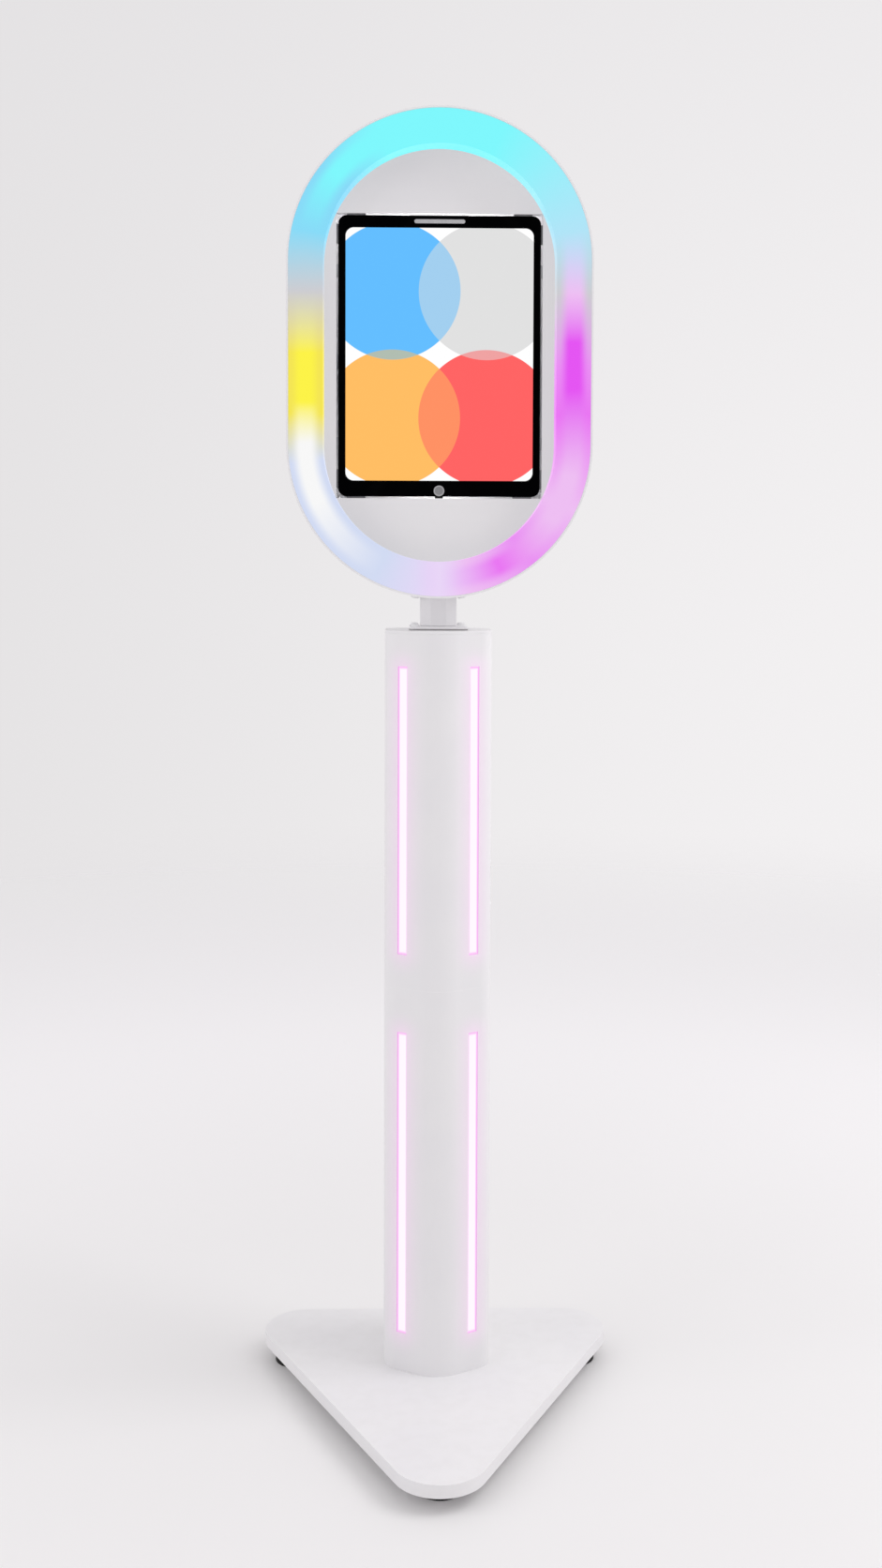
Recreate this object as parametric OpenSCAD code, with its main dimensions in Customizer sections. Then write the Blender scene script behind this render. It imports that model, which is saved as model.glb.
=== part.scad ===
// Free-standing photo booth. A lit oval head holds a tablet, and stands on a neck, a column
// in two lit sections and a heavy triangular base plate with levelling feet.
// +Z is up, the tablet faces -Y, and the origin is on the floor under the middle of the base.

/* [Base] */
// Width of the base plate
base_w = 400; // [340:10:500]
// Depth of the base plate, from its front tip to its back edge
base_d = 394; // [340:2:500]
// Radius of the base plate's three corners
base_r = 50; // [35:1:60]
// Thickness of the base plate
base_t = 14; // [12:1:20]
// Height of the base plate's underside above the floor
foot_h = 18; // [18:1:30]
// Distance from the base plate's back edge to the column's axis
column_back = 112; // [90:1:130]

/* [Feet] */
// Radius of a foot's rubber pad
pad_r = 22; // [16:1:28]
// Thickness of a foot's rubber pad
pad_t = 8; // [6:0.5:9]
// Radius of a foot's threaded stud
stud_r = 5; // [4:0.5:6]
// Distance from the base plate's sides to the back feet
foot_side_in = 35; // [30:1:45]
// Distance from the base plate's back edge to the back feet
foot_back_in = 62; // [32:1:80]
// Distance from the base plate's front tip to the front foot
foot_front_in = 50; // [40:1:60]

/* [Column] */
// Width of the column across its flat sides
column_w = 119; // [105:1:140]
// Wall thickness of the column
column_wall = 2.5; // [2:0.5:4]
// Radius of the column's front and back edges
front_edge_r = 45; // [30:1:50]
// Radius of the column's four side edges
side_edge_r = 25; // [15:1:27]
// Height of the lower column section
lower_h = 432; // [360:1:600]
// Height of the upper column section, with its cap
upper_h = 397; // [340:1:600]
// Thickness of the cap on the column
cap_t = 3; // [2:0.5:5]

/* [Column lights] */
// Width of a light slot
slot_w = 12; // [8:1:14]
// Length of the two lower light slots
lower_slot_l = 340; // [200:5:345]
// Height of the lower slots' ends above the foot of their section
lower_slot_up = 43; // [30:1:45]
// Length of the two upper light slots
upper_slot_l = 320; // [200:5:320]
// Height of the upper slots' ends above the foot of their section
upper_slot_up = 38; // [38:1:50]
// Distance of a slot from the middle of its face, towards the side
slot_shift = 11.5; // [8:0.5:12]
// Distance between the lights along a strip
strip_pitch = 16; // [10:1:30]

/* [Neck] */
// Width of the eight-sided neck tube across its flats
neck_w = 41; // [34:1:41]
// Wall thickness of the neck tube
neck_wall = 2.5; // [2:0.5:4]
// Gap between the column's top and the head
neck_gap = 36; // [25:1:80]
// Width of the flange under the neck
flange_w = 65; // [60:1:76]

/* [Head] */
// Width of the head
head_w = 334; // [334:2:400]
// Height of the head
head_h = 532; // [532:2:640]
// Depth of the head
head_d = 82; // [80:1:110]
// Distance from the column's axis to the front of the head
head_front = 55; // [55:1:60]
// Thickness of the head's shell
shell_t = 2; // [1.5:0.5:3]
// Width of the light ring with its rim
ring_w = 40; // [38:1:40]
// Distance from the head's front to the inner panel
ring_depth = 30; // [22:1:30]
// Thickness of the ring's diffuser
diffuser_t = 3; // [2:0.5:3]
// Distance between the lights round the ring
ring_pitch = 15; // [8:1:30]

/* [Tablet] */
// Width of the tablet
tablet_w = 223; // [180:1:223]
// Height of the tablet
tablet_h = 308; // [240:1:308]
// Thickness of the tablet
tablet_t = 7; // [6:0.5:8]
// Radius of the tablet's corners
tablet_r = 9.2; // [6:0.2:12]
// Border beside the screen, from its edge to the tablet's
side_border = 7.5; // [6:0.5:31.5]
// Border above and below the screen
end_border = 15; // [13:0.5:54]
// Gap between the tablet and the edge of its window
window_gap = 2; // [1:0.5:4]
// Travel of the home button and the side keys
key_travel = 0.4; // [0.2:0.1:0.5]

/* [Door] */
// Width of the rim that the door closes on
door_rim = 20; // [16:1:24]
// Thickness of the door
door_t = 2; // [1.5:0.5:3]
// Height of one hinge
hinge_h = 50; // [30:1:60]
// Radius of the hinge knuckles
knuckle_r = 3.2; // [2.8:0.1:3.4]
// Radius of the hinge pins
pin_r = 1.5; // [1:0.1:1.8]

/* [Hidden] */
$fn = 96;

white = [0.93, 0.93, 0.94];
zinc = [0.72, 0.73, 0.75];
black = [0.08, 0.08, 0.09];
pink_light = [1.0, 0.72, 0.97];
ring_light = [0.75, 0.90, 1.0];
alloy = [0.80, 0.81, 0.83];
board_white = [0.90, 0.92, 0.88];

// Clearances
over = 1;                 // how far a cut runs past the face it opens
fit_gap = 0.2;            // sheet or plate beside its neighbour, along a side
turn_gap = 0.05;          // radial clearance of a shaft in its hole
move_gap = 0.3;           // clearance of a piece that slides or swings

// Heights from the floor
base_top = foot_h + base_t;
joint_z = base_top + lower_h;
column_top = joint_z + upper_h;
head_low = column_top + neck_gap;
head_z = head_low + head_h / 2;
axis_y = base_d / 2 - column_back;

// Column section: apothem of the six faces, and where the flat part of a front face lies
apothem = column_w / 2;
side_len = column_w * tan(30);
flat_mid = (front_edge_r - side_edge_r) * tan(30) / 2;
corner_angles = [-90, -30, 30, 90, 150, 210];
corner_radii = [for (a = corner_angles) abs(sin(a)) == 1 ? front_edge_r : side_edge_r];

// Base plate's corner centres, and the feet, seen from above
base_corners = [
    [base_w / 2 - base_r, base_d / 2 - base_r],
    [-(base_w / 2 - base_r), base_d / 2 - base_r],
    [0, base_r - base_d / 2]
];
foot_left = [foot_side_in - base_w / 2, base_d / 2 - foot_back_in];
foot_right = [base_w / 2 - foot_side_in, base_d / 2 - foot_back_in];
foot_front = [0, foot_front_in - base_d / 2];
feet = [foot_left, foot_right, foot_front];

// Levelling feet
insert_r = stud_r + 3;
insert_h = base_t - 2;
stud_nut_h = 5;
stud_nut_af = 2 * stud_r + 7;
lock_nut_h = foot_h - pad_t - stud_nut_h - 1;

// Column base bolts
foot_plate_t = 8;
bolt_r = 4;
bolt_head_r = 8;
bolt_square = 60;

// Joint between the column sections
spigot_half = 33;
spigot_wall = 3;
spigot_pitch = 30;
set_screw_sunk = 0.3;

// Screws: shank radius, head radius, head height
m5 = [2.5, 4.75, 2.7];
m3 = [1.5, 2.8, 1.7];

// Light strips in the column
nose_gap = 0.25;
nose_recess = 0.6;
side_lip = side_len / 2 - side_edge_r * tan(30) - slot_shift - slot_w / 2;
end_lip = 2.4;
lip_t = 2;
channel_t = 1.5;
channel_d = 11;
strip_t = 1;
strip_w = slot_w - 2;
lamp = 5;
lamp_t = 1.6;

// Power inlet and switch on the column's back left face
inlet_w = 24;
inlet_h = 66;
inlet_t = 1.5;
inlet_z = base_top + 58;
jack_z = -17;
jack_r = 5.5;
jack_depth = 14;
switch_z = 14;
switch_w = 13;
switch_h = 21;
switch_depth = 13;
bezel_t = 1.8;
rocker_w = 9;
rocker_half = 8;
rocker_rise = 3.2;
rocker_tilt = 8;
rocker_pivot = 2.4;
lead_r = 3;
lead_bend = 16;

// Neck
gasket_t = 1.6;
flange_t = 2.5;
flange_bolts = 53;
flange_corner = 6;
neck_low = column_top + gasket_t + flange_t;
neck_in_head = 11;
saddle_t = 4;
saddle_half_w = 37;
saddle_angle = 8.9;
saddle_rows = [-13, 13];
nut_t = 4;

// Head, in depth from the column's axis
straight = head_h - head_w;
head_r = head_w / 2;
front_y = -head_front;
back_y = head_d - head_front;
panel_y = front_y + ring_depth;
panel_t = 2;
ledge_y = panel_y + panel_t;
ledge_w = 18;
diffuser_recess = 0.5;
diffuser_r = head_r - shell_t - move_gap;
ring_inner_r = head_r - ring_w;
board_t = 1.6;
board_outer_r = diffuser_r - diffuser_t - move_gap;
board_inner_r = ring_inner_r + diffuser_t + move_gap;
lamp_line_r = (board_outer_r + board_inner_r) / 2;
panel_screw_r = head_r - shell_t - ledge_w / 2;
saddle_front = ledge_y + panel_t + fit_gap;
saddle_back = back_y - 2 - fit_gap;

// Tablet, in depth from the column's axis
glass_t = 0.8;
glass_y = panel_y + 0.5;
body_y = glass_y + glass_t;
tablet_back = glass_y + tablet_t;
display_t = 1.5;
screen_w = tablet_w - 2 * side_border;
screen_h = tablet_h - 2 * end_border;
screen_up = 2;
window_w = tablet_w + 2 * window_gap;
window_h = tablet_h + 2 * window_gap;
button_r = 5.8;
button_up = 6.4;
button_t = 1.2;
speaker_w = 56;
speaker_h = 4.4;
speaker_down = 6.3;
key_l = 12;
key_w = 2.6;
key_out = 0.6;
key_in = 1.6;
power_key_x = 58;
volume_up_z = 92;
volume_down_z = 72;

// Brackets and bars that hold the tablet
pad_soft = 2;
bracket_len = 30;
bracket_t = 3;
bracket_back = tablet_back + pad_soft;
ear = 10;
ear_t = 2.5;
bar_up = 95;
bar_w = 14;
bar_t = 3;
bar_over = 12;
post_r = 3.5;
post_x = tablet_w / 2 + 7.5;
thumb_r = 5;
thumb_h = 6;

// Light controller
controller = [84, 20, 44];
controller_up = head_low + 48;
plug = [9, 4, 8];
charge_r = 1.75;

// Door, its hinges and its lock
opening_r = head_r - door_rim;
door_y = back_y + move_gap;
door_r = head_r - 8;
door_back = door_y + door_t;
rib_gap = 2;
rib_t = 2;
rib_depth = 2;
hinge_x = door_r + knuckle_r + 0.6;
hinge_y = back_y + 0.4 + knuckle_r;
hinge_zs = [-62, 62];
leaf_t = 1.5;
leaf_w = 24;
knuckle_gap = 0.4;
lock_x = -(opening_r - 24);
lock_flange_r = 12;
lock_body_r = 9;
lock_flange_t = 2;
plug_r = 6;
lock_nut_t = 2.2;
tongue_t = 2;
tongue_w = 13;
tongue_l = 32;
tongue_y = door_y - lock_nut_t - move_gap - tongue_t;

// ---------- outlines and placing ----------

// Closed outline round equal circles, given in order anticlockwise
module rounded(centres, r) {
    n = len(centres);
    polygon([
        for (i = [0 : n - 1])
            let (a = centres[i], b = centres[(i + 1) % n], d = (b - a) / norm(b - a))
            each [a + r * [d.y, -d.x], b + r * [d.y, -d.x]]
    ]);
    for (c = centres) translate(c) circle(r);
}

module rounded_box(w, h, r) {
    x = w / 2 - r;
    y = h / 2 - r;
    rounded([[-x, -y], [x, -y], [x, y], [-x, y]], r);
}

// Six-sided column section with its corners cut off, drawn smaller all round by inset
module column_flats(inset) {
    far = (apothem - inset) / cos(30);
    corners = [for (a = corner_angles) far * [cos(a), sin(a)]];
    polygon([
        for (i = [0 : 5])
            let (before = corners[(i + 5) % 6] - corners[i], after = corners[(i + 1) % 6] - corners[i])
            let (cut = (corner_radii[i] - inset) * tan(30))
            each [corners[i] + cut * before / norm(before), corners[i] + cut * after / norm(after)]
    ]);
}

// The same section with its corners rounded
module column_section(inset) {
    column_flats(inset);
    for (i = [0 : 5]) {
        r = corner_radii[i] - inset;
        centre_r = (apothem - inset - r) / cos(30);
        rotate(corner_angles[i]) translate([centre_r, 0]) circle(r);
    }
}

module column_ring(outside, inside) {
    difference() {
        column_section(outside);
        column_section(inside);
    }
}

module octagon(across) {
    rotate(22.5) circle(r = across / 2 / cos(22.5), $fn = 8);
}

module hexagon(across) {
    circle(r = across / 2 / cos(30), $fn = 6);
}

// Outline of the head, which is an upright oval with straight sides
module oval(r) {
    rounded([[0, -straight / 2], [0, straight / 2]], r);
}

module oval_ring(outer_r, inner_r) {
    difference() {
        oval(outer_r);
        oval(inner_r);
    }
}

module at_axis() {
    translate([0, axis_y, 0]) children();
}

// Stands an outline up, facing forward, and gives it depth from near to far behind the axis
module slab(near, far) {
    at_axis() translate([0, far, head_z]) rotate([90, 0, 0]) linear_extrude(far - near) children();
}

// Places a piece on a slanting face of the column: -Y points out of it, +X points to the side
module on_face(side, rear = false) {
    at_axis() mirror([0, rear ? 1 : 0, 0]) mirror([side < 0 ? 1 : 0, 0, 0]) rotate([0, 0, 30])
        children();
}

// A screw with its head above the XY plane and its shank below
module screw(size, length) {
    r = size[1];
    h = size[2];
    difference() {
        union() {
            rotate_extrude() polygon([[0, 0], [r, 0], [r, h * 0.45], [r * 0.72, h], [0, h]]);
            translate([0, 0, -length]) cylinder(r = size[0], h = length);
        }
        translate([0, 0, h * 0.4]) linear_extrude(h) hexagon(size[0] * 1.5);
    }
}

// Screw without a head, sunk below the face at z = 0, with its socket outward
module set_screw(r, sunk, length) {
    difference() {
        translate([0, 0, -length]) cylinder(r = r, h = length - sunk);
        translate([0, 0, -length / 2]) linear_extrude(length) hexagon(r);
    }
}

// ---------- base and feet ----------

module at_feet() {
    for (p = feet) translate(p) children();
}

module at_base_bolts() {
    for (x = [-0.5, 0.5], y = [-0.5, 0.5])
        translate([x * bolt_square, axis_y + y * bolt_square, 0]) children();
}

module base_plate() {
    color(white) difference() {
        translate([0, 0, foot_h]) linear_extrude(base_t) rounded(base_corners, base_r);
        at_feet() translate([0, 0, foot_h - over]) cylinder(r = insert_r, h = insert_h + over);
        at_base_bolts() base_bolt(over);
    }
}

// Countersunk bolt from under the plate; the cut for it runs on past the plate
module base_bolt(past) {
    cone_h = bolt_head_r - bolt_r;
    rotate_extrude() polygon([
        [0, foot_h - past], [bolt_head_r, foot_h - past], [bolt_head_r, foot_h + 0.5],
        [bolt_r, foot_h + 0.5 + cone_h], [bolt_r, base_top + foot_plate_t + past],
        [0, base_top + foot_plate_t + past]
    ]);
}

module foot_inserts() {
    color(zinc) at_feet() translate([0, 0, foot_h]) difference() {
        cylinder(r = insert_r, h = insert_h);
        translate([0, 0, -over]) cylinder(r = stud_r + turn_gap, h = insert_h + 2 * over);
    }
}

module foot_lock_nuts() {
    color(zinc) at_feet() translate([0, 0, foot_h - lock_nut_h]) difference() {
        linear_extrude(lock_nut_h) hexagon(stud_nut_af);
        translate([0, 0, -over]) cylinder(r = stud_r + turn_gap, h = lock_nut_h + 2 * over);
    }
}

module foot_stud(p) {
    color(zinc) translate([p.x, p.y, pad_t]) {
        linear_extrude(stud_nut_h) hexagon(stud_nut_af);
        cylinder(r = stud_r, h = foot_h - pad_t + insert_h - 0.5);
    }
}

module foot_pad(p) {
    shoulder = pad_t * 0.6;
    color(black) translate(p) rotate_extrude() polygon([
        [0, 0], [pad_r, 0], [pad_r, shoulder], [pad_r - 6, pad_t], [0, pad_t]
    ]);
}

// ---------- column ----------

module column_foot_plate() {
    color(zinc) difference() {
        at_axis() translate([0, 0, base_top]) linear_extrude(foot_plate_t)
            column_section(column_wall + fit_gap);
        at_base_bolts() base_bolt(over);
    }
}

module base_bolts() {
    color(zinc) at_base_bolts() difference() {
        base_bolt(0);
        translate([0, 0, foot_h - over]) linear_extrude(over + 3) hexagon(5);
    }
}

// Places a piece at each spigot screw, with -Y pointing out of the column
module at_spigot_screws() {
    at_axis() for (a = [0, 180], dz = [-0.5, 0.5])
        rotate([0, 0, a + 90]) translate([0, -apothem, joint_z + dz * spigot_pitch]) children();
    for (side = [-1, 1], dz = [-0.5, 0.5])
        on_face(side, true) translate([flat_mid, -apothem, joint_z + dz * spigot_pitch]) children();
}

module slot_cuts(low, length) {
    for (side = [-1, 1])
        on_face(side) translate([slot_shift - slot_w / 2, -apothem - over, low])
            cube([slot_w, column_wall + 2 * over, length]);
}

module column_tube(low, height) {
    at_axis() translate([0, 0, low]) linear_extrude(height) column_ring(0, column_wall);
}

module spigot_holes(depth) {
    at_spigot_screws() rotate([90, 0, 0]) translate([0, 0, -depth])
        cylinder(r = m5[0], h = depth + over);
}

module lower_column() {
    color(white) difference() {
        column_tube(base_top, lower_h);
        slot_cuts(base_top + lower_slot_up, lower_slot_l);
        spigot_holes(column_wall + over);
        on_inlet() translate([-inlet_w / 2 + 3, -over, -inlet_h / 2 + 8])
            cube([inlet_w - 6, column_wall + 2 * over, inlet_h - 16]);
        at_inlet_screws() rotate([90, 0, 0]) translate([0, 0, -column_wall - over])
            cylinder(r = m3[0], h = column_wall + 2 * over);
    }
}

module upper_column() {
    color(white) difference() {
        column_tube(joint_z, upper_h - cap_t);
        slot_cuts(joint_z + upper_slot_up, upper_slot_l);
        spigot_holes(column_wall + over);
    }
}

module joint_spigot() {
    inner = column_wall + fit_gap;
    color(zinc) difference() {
        at_axis() translate([0, 0, joint_z - spigot_half]) linear_extrude(2 * spigot_half)
            difference() {
                column_flats(inner);
                column_flats(inner + spigot_wall);
            }
        at_spigot_screws() rotate([90, 0, 0]) translate([0, 0, -inner - spigot_wall - over])
            cylinder(r = m5[0], h = inner + spigot_wall + 2 * over);
    }
}

module spigot_screws() {
    color(zinc) at_spigot_screws() rotate([90, 0, 0])
        set_screw(m5[0], set_screw_sunk, column_wall + fit_gap + spigot_wall);
}

module column_cap() {
    color(white) difference() {
        at_axis() translate([0, 0, column_top - cap_t]) linear_extrude(cap_t) column_section(0);
        at_axis() translate([0, 0, column_top - cap_t - over])
            cylinder(r = neck_w / 2 - neck_wall, h = cap_t + 2 * over);
        at_flange_screws() translate([0, 0, -over - cap_t])
            cylinder(r = m5[0], h = cap_t + 2 * over);
    }
}

// ---------- column lights ----------

// Opal bar: its nose fills the slot, and its lip bears on the inside of the wall
module slot_diffuser(side, low, length) {
    nose_w = slot_w - 2 * nose_gap;
    color(pink_light) on_face(side) translate([slot_shift, -apothem, low]) {
        translate([-nose_w / 2, nose_recess, nose_gap])
            cube([nose_w, column_wall + 0.5 - nose_recess, length - 2 * nose_gap]);
        translate([-slot_w / 2 - side_lip, column_wall, -end_lip])
            cube([slot_w + 2 * side_lip, lip_t, length + 2 * end_lip]);
    }
}

// Calls its child for each of the four lights, with $length set, at the slot's lower end
module at_each_light() {
    lows = [base_top + lower_slot_up, joint_z + upper_slot_up];
    lengths = [lower_slot_l, upper_slot_l];
    for (side = [-1, 1], i = [0, 1]) {
        $length = lengths[i];
        on_face(side) translate([slot_shift, column_wall + lip_t - apothem, lows[i]]) children();
    }
}

module light_channel(length) {
    w = slot_w + 2 * side_lip;
    translate([-w / 2, 0, -end_lip]) difference() {
        cube([w, channel_d, length + 2 * end_lip]);
        translate([channel_t, -over, -over])
            cube([w - 2 * channel_t, channel_d - channel_t + over, length + 2 * end_lip + 2 * over]);
    }
}

module light_channels() {
    color(alloy) at_each_light() light_channel($length);
}

// A strip is one board and a row of lamps on it, facing the slot
module light_strip(length) {
    floor_y = channel_d - channel_t;
    count = floor((length - lamp) / strip_pitch);
    first = (length - count * strip_pitch) / 2;
    translate([-strip_w / 2, floor_y - strip_t, 0]) cube([strip_w, strip_t, length]);
    for (i = [0 : count])
        translate([-lamp / 2, floor_y - strip_t - lamp_t, first + i * strip_pitch - lamp / 2])
            cube([lamp, lamp_t, lamp]);
}

module light_strips() {
    color(board_white) at_each_light() light_strip($length);
}

// ---------- power inlet ----------

module on_inlet() {
    on_face(-1, true) translate([flat_mid, -apothem, inlet_z]) children();
}

module at_inlet_screws() {
    on_inlet() for (z = [-0.5, 0.5]) translate([0, 0, z * (inlet_h - 8)]) children();
}

module inlet_plate() {
    color(black) difference() {
        on_inlet() rotate([90, 0, 0]) linear_extrude(inlet_t) rounded_box(inlet_w, inlet_h, 3);
        on_inlet() translate([0, 0, jack_z]) rotate([90, 0, 0]) translate([0, 0, -over])
            cylinder(r = jack_r, h = inlet_t + 2 * over);
        on_inlet() translate([-switch_w / 2, -inlet_t - over, switch_z - switch_h / 2])
            cube([switch_w, inlet_t + 2 * over, switch_h]);
        at_inlet_screws() rotate([90, 0, 0]) translate([0, 0, -over])
            cylinder(r = m3[0], h = inlet_t + 2 * over);
    }
}

module inlet_plate_screws() {
    color(zinc) at_inlet_screws() translate([0, -inlet_t, 0]) rotate([90, 0, 0])
        screw(m3, inlet_t + column_wall + 1);
}

module power_inlet() {
    color(black) on_inlet() translate([0, -inlet_t, jack_z]) rotate([90, 0, 0]) {
        difference() {
            union() {
                cylinder(r = jack_r + 2, h = 1.5);
                translate([0, 0, -jack_depth]) cylinder(r = jack_r, h = jack_depth);
            }
            translate([0, 0, -9]) cylinder(r = 3.2, h = 12);
        }
        translate([0, 0, -10]) cylinder(r = 1, h = 10);
    }
}

module switch_body() {
    cavity_h = 2 * rocker_half + 1.6;
    color(black) on_inlet() translate([0, -inlet_t, switch_z]) difference() {
        union() {
            translate([-switch_w / 2 - 1, -bezel_t, -switch_h / 2 - 1])
                cube([switch_w + 2, bezel_t, switch_h + 2]);
            translate([-switch_w / 2, 0, -switch_h / 2]) cube([switch_w, switch_depth, switch_h]);
        }
        translate([-rocker_w / 2 - move_gap, -bezel_t - over, -cavity_h / 2])
            cube([rocker_w + 2 * move_gap, bezel_t + over + 9, cavity_h]);
    }
}

// Rocker, tipped to its off side; it turns on a pin that its sides carry
module switch_rocker() {
    pivot_r = 1.2;
    color(black) on_inlet() translate([0, rocker_pivot - inlet_t - bezel_t, switch_z])
        rotate([rocker_tilt, 0, 0]) rotate([90, 0, 90]) translate([0, 0, -rocker_w / 2])
            linear_extrude(rocker_w) polygon([
                [-rocker_rise, rocker_half], [-1.9, 0], [-rocker_rise, -rocker_half],
                [1, -rocker_half + 1.2], [4, 0], [1, rocker_half - 1.2]
            ]);
}

// Supply lead inside the booth: in from the inlet, round a bend, and up to the controller
module power_lead() {
    start_y = jack_depth - inlet_t;
    bend_y = apothem - lead_bend;
    bend_z = jack_z + lead_bend;
    color(black) on_inlet() {
        translate([0, start_y, jack_z]) rotate([-90, 0, 0]) cylinder(r = lead_r, h = bend_y - start_y);
        translate([0, bend_y, bend_z]) rotate([90, 0, 90]) rotate([0, 0, -90])
            rotate_extrude(angle = 90) translate([lead_bend, 0]) circle(lead_r);
        translate([0, apothem, bend_z])
            cylinder(r = lead_r, h = controller_up - inlet_z - bend_z);
    }
}

// ---------- neck ----------

module at_flange_screws() {
    for (x = [-0.5, 0.5], y = [-0.5, 0.5])
        at_axis() translate([x * flange_bolts, y * flange_bolts, column_top]) children();
}

module flange_outline() {
    difference() {
        rounded_box(flange_w, flange_w, flange_corner);
        circle(neck_w / 2 - neck_wall);
    }
}

module flange_gasket() {
    color(black) difference() {
        at_axis() translate([0, 0, column_top]) linear_extrude(gasket_t) flange_outline();
        at_flange_screws() translate([0, 0, -over]) cylinder(r = m5[0], h = gasket_t + 2 * over);
    }
}

module neck_flange() {
    color(white) difference() {
        at_axis() translate([0, 0, column_top + gasket_t]) linear_extrude(flange_t) flange_outline();
        at_flange_screws() cylinder(r = m5[0], h = gasket_t + flange_t + over);
    }
}

// Each screw has its nut under the column's cap
module flange_screws() {
    color(zinc) at_flange_screws() {
        translate([0, 0, gasket_t + flange_t]) screw(m5, gasket_t + flange_t + cap_t + nut_t + 1);
        translate([0, 0, -cap_t - nut_t]) nut();
    }
}

module nut() {
    difference() {
        linear_extrude(nut_t) hexagon(8);
        translate([0, 0, -over]) cylinder(r = m5[0], h = nut_t + 2 * over);
    }
}

module neck_tube() {
    color(white) at_axis() translate([0, 0, neck_low])
        linear_extrude(head_low + neck_in_head - neck_low) difference() {
            octagon(neck_w);
            octagon(neck_w - 2 * neck_wall);
        }
}

module neck_cut(gap) {
    at_axis() translate([0, 0, head_low - over]) linear_extrude(neck_in_head + 20)
        octagon(neck_w + 2 * gap);
}

// Places a piece at each saddle screw, on the head's round underside, with -Z pointing out
module at_saddle_screws() {
    for (a = [-saddle_angle, saddle_angle], y = saddle_rows)
        at_axis() translate([0, y, head_low + head_r]) rotate([0, a, 0])
            translate([0, 0, -head_r]) children();
}

module saddle_holes() {
    at_saddle_screws() translate([0, 0, -over])
        cylinder(r = m5[0], h = shell_t + fit_gap + saddle_t + 2 * over);
}

// Curved plate inside the head, which the neck is welded to
module neck_saddle() {
    outer = head_r - shell_t - fit_gap;
    color(zinc) difference() {
        slab(saddle_front, saddle_back) intersection() {
            translate([0, -straight / 2]) difference() {
                circle(outer);
                circle(outer - saddle_t);
            }
            translate([-saddle_half_w, -head_h / 2]) square([2 * saddle_half_w, head_r / 2]);
        }
        neck_cut(fit_gap);
        saddle_holes();
    }
}

module saddle_screws() {
    color(zinc) at_saddle_screws() rotate([180, 0, 0])
        screw(m5, shell_t + fit_gap + saddle_t);
}

// ---------- head ----------

// Places a piece at each panel screw, on the back of the shell's ledge, with +Y pointing back
module at_panel_screws() {
    for (x = [-1, 1], z = [-1, 0, 1])
        at_axis() translate([x * panel_screw_r, ledge_y + panel_t, head_z + z * straight / 2])
            children();
    for (x = [-1, 1], z = [-1, 1])
        at_axis() translate([
            x * panel_screw_r * cos(60), ledge_y + panel_t,
            head_z + z * (straight / 2 + panel_screw_r * sin(60))
        ]) children();
}

module panel_holes() {
    at_panel_screws() rotate([90, 0, 0]) translate([0, 0, -over])
        cylinder(r = m3[0], h = 2 * panel_t + 2 * over);
}

module head_shell() {
    color(white) difference() {
        union() {
            slab(front_y, back_y) oval_ring(head_r, head_r - shell_t);
            slab(ledge_y, ledge_y + panel_t) oval_ring(head_r - shell_t / 2, head_r - shell_t - ledge_w);
            slab(back_y - 2, back_y) oval_ring(head_r - shell_t / 2, opening_r);
        }
        neck_cut(move_gap);
        saddle_holes();
        panel_holes();
    }
}

module inner_panel() {
    color(white) difference() {
        slab(panel_y, ledge_y) difference() {
            oval(head_r - shell_t - move_gap);
            square([window_w, window_h], center = true);
        }
        panel_holes();
    }
}

module panel_screws() {
    color(zinc) at_panel_screws() rotate([-90, 0, 0]) screw(m3, 2 * panel_t);
}

// Opal ring: a front face with an inner and an outer wall that stand on the panel
module ring_diffuser() {
    face_y = front_y + diffuser_recess;
    color(ring_light) difference() {
        slab(face_y, panel_y) oval_ring(diffuser_r, ring_inner_r);
        slab(face_y + diffuser_t, panel_y + over)
            oval_ring(diffuser_r - diffuser_t, ring_inner_r + diffuser_t);
    }
}

module ring_light_board() {
    color(board_white) slab(panel_y - board_t, panel_y) oval_ring(board_outer_r, board_inner_r);
}

// Lamps stand on the board in two straight rows and two half circles
module ring_lights() {
    arc_count = round(180 * lamp_line_r * PI / 180 / ring_pitch);
    row_count = round(straight / ring_pitch);
    color([1, 1, 0.95]) slab(panel_y - board_t - lamp_t, panel_y - board_t) {
        for (end = [0, 1], i = [0 : arc_count])
            translate([0, (end == 0 ? 0.5 : -0.5) * straight]) rotate(end * 180 + i * 180 / arc_count)
                translate([lamp_line_r, 0]) square(lamp, center = true);
        for (x = [-1, 1], i = [1 : row_count - 1])
            translate([x * lamp_line_r, straight * (i / row_count - 0.5)]) square(lamp, center = true);
    }
}

module light_controller() {
    color(black) at_axis() translate([-controller.x / 2, ledge_y, controller_up]) {
        cube(controller);
        translate([-8, 0, 8]) cube([controller.x + 16, 2, controller.z - 16]);
    }
}

module charge_lead() {
    lead_y = ledge_y + plug.y / 2 + 0.5;
    plug_low = head_z - tablet_h / 2 - plug.z;
    lead_low = controller_up + controller.z;
    color(black) at_axis() {
        translate([0, lead_y, lead_low]) cylinder(r = charge_r, h = plug_low - lead_low);
        translate([-plug.x / 2, lead_y - plug.y / 2, plug_low]) cube(plug);
    }
}

// ---------- tablet ----------

module tablet_outline() {
    rounded_box(tablet_w, tablet_h, tablet_r);
}

module key_on_top() {
    at_axis() translate([power_key_x, body_y + 3, head_z + tablet_h / 2]) children();
}

module key_on_side(up) {
    at_axis() translate([tablet_w / 2, body_y + 3, head_z + up]) rotate([0, 90, 0]) children();
}

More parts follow.
